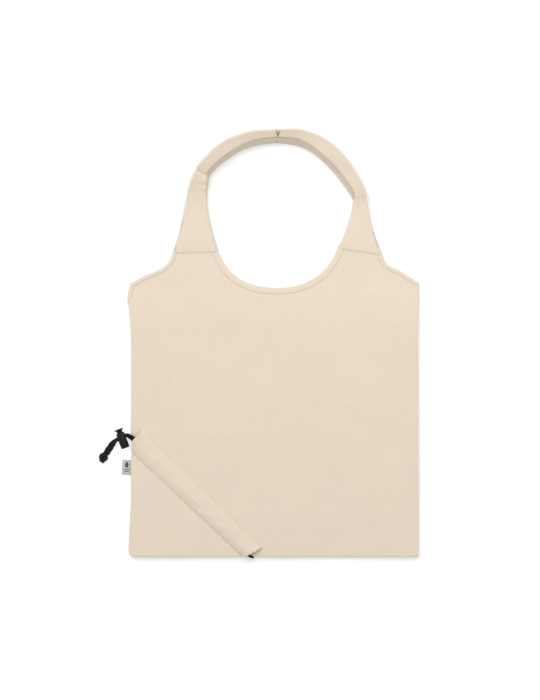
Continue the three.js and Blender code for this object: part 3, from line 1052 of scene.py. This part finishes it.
def strap_section(inner, outer, curl):
    """Points across a strap: flat from its inner edge to the ridge, then curled over and down."""
    out = outer - inner
    plan = unit(np.array((out[0], out[1], 0)))
    ridge = outer - plan * 0.2 * curl
    knee = outer + plan * 0.1 * curl + (0, 0, 0.05 * curl)
    lip = outer + plan * 0.05 * curl - (0, 0, 0.75 * curl)
    shares = np.concatenate([[0, 0.12], np.linspace(0.28, 0.82, 8), [0.92, 1]])
    flat_part = inner + (ridge - inner) * shares[:, None]
    return np.vstack([flat_part, arc(ridge, knee, lip, steps=8)[1:]])


def crease_depth(beyond, share, depth):
    """A crease across a strap, with gathers before it that fade out towards the outer edge."""
    fold = depth * np.exp(-((beyond / 2.6) ** 2)) * (0.45 + 0.55 * share)
    gathers = np.exp(-(((beyond + 16) / 11) ** 2)) * (1 - share) ** 2
    return 0.9 * gathers * np.sin(beyond / 1.9 + 2.5 * share) - fold


def make_strap(layer, which, stations, crease=None):
    """A strap through its stations. A crease is given by its place along the strap and its depth."""
    per_span = 12
    inner, outer = (spline([station[i] for station in stations], per_span) for i in (0, 1))
    count = np.arange(len(inner)) / per_span
    curl = np.interp(count, np.arange(len(stations)), [station[2] for station in stations])
    grid = np.array([strap_section(*section) for section in zip(inner, outer, curl)])
    run = run_of((inner + outer) / 2)
    steps = np.linalg.norm(np.diff(grid, axis=1), axis=2)
    across = np.pad(np.cumsum(steps, axis=1), ((0, 0), (1, 0)))
    along = run[:, None] + 0 * across
    ripple = 0.35 * waves(across, along, 34, STRAP_SEED[which])
    if crease is not None:
        place, depth = crease
        share = across / across[:, -1:]
        ripple = ripple + crease_depth(along - place - 4 * share, share, depth)
    settle = smoothstep(along / 25) * smoothstep((run[-1] - along) / 25)
    normal = normals_of(grid)
    upward = normal * np.sign(normal[..., 2].mean())
    grid = grid + upward * (ripple * settle)[..., None]
    grid[..., 2] -= 0.9 * np.exp(-((along / 3.2) ** 2))
    shape = Shape()
    shape.slab(grid, STRAP_THICKNESS, np.dstack([across, along]), plain_end=True)
    strap = shape.make(f"{layer}_strap_{which}", cotton)
    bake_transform(strap)
    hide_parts(f"{layer}_{which}_strap")


def make_tack(layer, foot, heads, half_width):
    """Bars of zigzag thread over the joint of a handle's two straps, spreading from one foot. Their dark
    colour is partly painted shade, which stands in for the shade in the folds at the joint.
    """
    shape = Shape()
    for head in heads:
        rise = np.subtract(head, foot)
        out = np.cross((1, 0, 0), unit(rise))
        for share in (np.arange(13) + 0.5) / 13:
            middle = np.array(foot) + rise * share + out * (STRAP_THICKNESS / 2 + 0.15)
            step = np.array((half_width, 0, 0)) + rise * 0.02
            shape.stitches(np.array([middle - step, middle + step]), out, pitch=20, radius=0.3, share=1.0)
    tack = shape.make(f"{layer}_tack", tack_thread)
    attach(tack, f"{layer}_handle")
    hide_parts(f"{layer}_handle_tack")


def make_handles():
    make_strap("front", "left", FRONT_LEFT, crease=(112, 2.6))
    make_strap("front", "right", FRONT_RIGHT)
    make_strap("back", "left", BACK_LEFT)
    make_strap("back", "right", BACK_RIGHT)
    front_heads = [(2.2, 591.6, 22.5), (5.0, 589, 20.9), (7.8, 591.6, 22.5)]
    make_tack("front", (4.4, 583.8, 17.7), front_heads, 0.9)
    make_tack("back", (3.5, 577.8, 2.2), [(3.5, 578.8, 5.6)], 0.5)


# ---------------------------------------- label

# The lower and the upper end of the label's seam and of its fold.
LABEL_SEAM = ((-199.4, 113.3), (-199.4, 134.6))
LABEL_FOLD = ((-212.8, 114.2), (-211.2, 135.4))


def label_place(away, across, rise):
    """A place on the label: away is 0 at the seam and 1 at the fold, across is 0 at its lower edge."""
    away, across = np.broadcast_arrays(away, across)
    lines = np.array((LABEL_SEAM, LABEL_FOLD))
    seam, fold = (low + (high - low) * across[..., None] for low, high in lines)
    place = seam + (fold - seam) * away[..., None]
    height = 3.0 + 1.5 * away + rise + 0.25 * np.sin(across * 5) * away
    return np.concatenate([place, height[..., None]], axis=-1)


def make_label():
    """A ribbon folded in two and caught in the side seam, with a plain leaf and two bars printed on it."""
    count = 12
    away = np.concatenate([np.linspace(0, 1, count), [1.02], np.linspace(1, 0, count)])
    rise = np.concatenate([np.full(count, 0.3), [0.0], np.full(count, -0.3)])
    grid = label_place(away[:, None], np.linspace(0, 1, 16), rise[:, None])
    shape = Shape()
    shape.slab(grid, 0.32, grid[..., :2])
    ribbon = shape.make("label_ribbon", label_cloth)
    prints = Shape()
    turn = np.linspace(0, 2 * math.pi, 25)[:-1]
    leaf_away = 0.5 + 0.20 * np.sin(turn)
    leaf_across = 0.66 + 0.20 * np.cos(turn) * np.abs(np.cos(turn)) ** 0.4
    add_print(prints, np.stack([leaf_away, leaf_across], axis=1))
    for low, reach in ((0.32, 0.32), (0.20, 0.24)):
        start, end, high = 0.5 - reach, 0.5 + reach, low + 0.05
        add_print(prints, np.array([(start, low), (end, low), (end, high), (start, high)]))
    marks = prints.make("label_print", label_print)
    for obj in (ribbon, marks):
        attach(obj, "label")
    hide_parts("side_label")


def add_print(shape, outline):
    """A flat printed mark on the label's upper face."""
    rings = np.array([label_place(*outline.T, 0.4), label_place(*outline.T, 0.51)])
    shape.sweep(rings, rings[..., :2])


# ---------------------------------------- everything

make_camera()
make_drawcord()
make_light()
make_ground()
for layer in ("back", "front"):
    for which in ("left", "right"):
        make_half(which, layer)
make_seams()
make_back_casing()
make_front_casing()
make_handles()
make_label()
